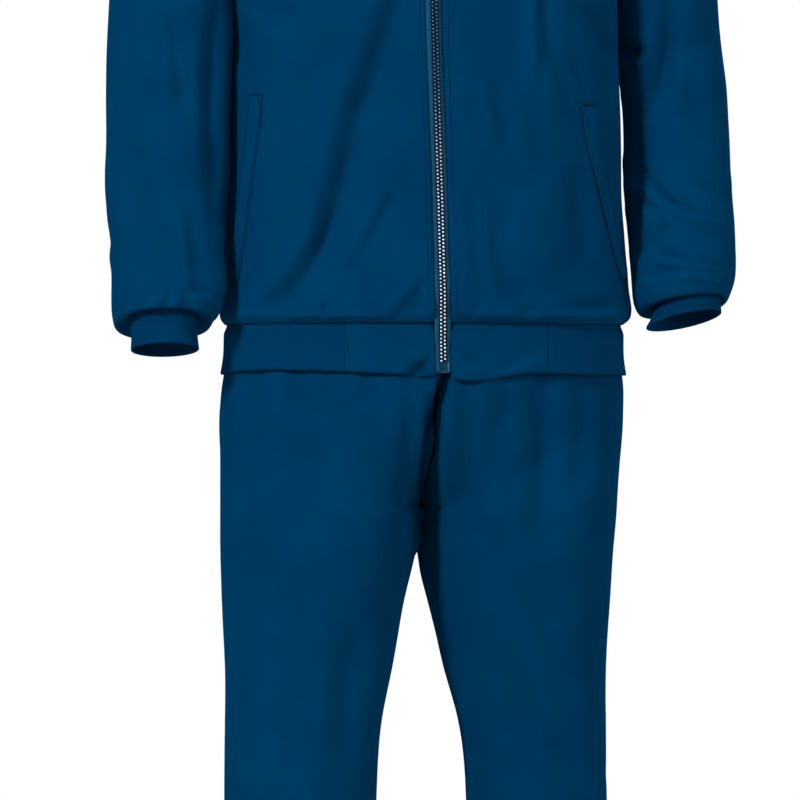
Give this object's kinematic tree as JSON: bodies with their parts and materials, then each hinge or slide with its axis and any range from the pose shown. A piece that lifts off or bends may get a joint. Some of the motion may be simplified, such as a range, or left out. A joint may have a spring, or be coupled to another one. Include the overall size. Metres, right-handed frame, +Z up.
{
  "type": "tracksuit",
  "caption": "Plain dark blue tracksuit in its worn, empty form: zip jacket with stand collar, ribbed hem band and cuffs, welt pockets, and straight trousers.",
  "frame": {"origin": "the middle of the neck, level with the points where the collar meets the shoulder seams: there the wearer's shoulders carry the jacket", "axes": "+Z up along the wearer, -Y the way the wearer faces, +X to the wearer's left"},
  "size_m": [0.6306, 0.2533, 1.6],
  "materials": {
    "polyester_knit": "smooth knitted polyester with a soft sheen",
    "rib_knit": "fine matte rib",
    "zip_tape": "woven tape, matte",
    "zip_teeth": "moulded, shiny",
    "zip_metal": "polished"
  },
  "bodies": {
    "garment": {"jacket_back": "polyester_knit", "jacket_front_right": "polyester_knit", "jacket_front_left": "polyester_knit", "jacket_sleeve_right": "polyester_knit", "jacket_sleeve_left": "polyester_knit", "jacket_cuff_right": "rib_knit", "jacket_cuff_left": "rib_knit", "jacket_collar": "polyester_knit", "waistband_front_right": "polyester_knit", "waistband_front_left": "polyester_knit", "waistband_rib": "rib_knit", "pocket_welt_right": "polyester_knit", "pocket_welt_left": "polyester_knit", "zip_tape_right": "zip_tape", "zip_tape_left": "zip_tape", "zip_chain": "zip_teeth", "zip_box": "zip_teeth", "zip_slider": "zip_metal", "trouser_front_right": "polyester_knit", "trouser_front_left": "polyester_knit", "trouser_back_right": "polyester_knit", "trouser_back_left": "polyester_knit", "trouser_waistband": "polyester_knit"},
    "pull_tab": {"zip_pull": "zip_metal"}
  },
  "joints": [
    {"name": "pull_tab_swing", "type": "hinge", "parent": "garment", "child": "pull_tab", "pos_m": [-0.01, -0.07302, -0.03964], "axis": [-1, 0, 0], "range_deg": [0, 165]}
  ]
}
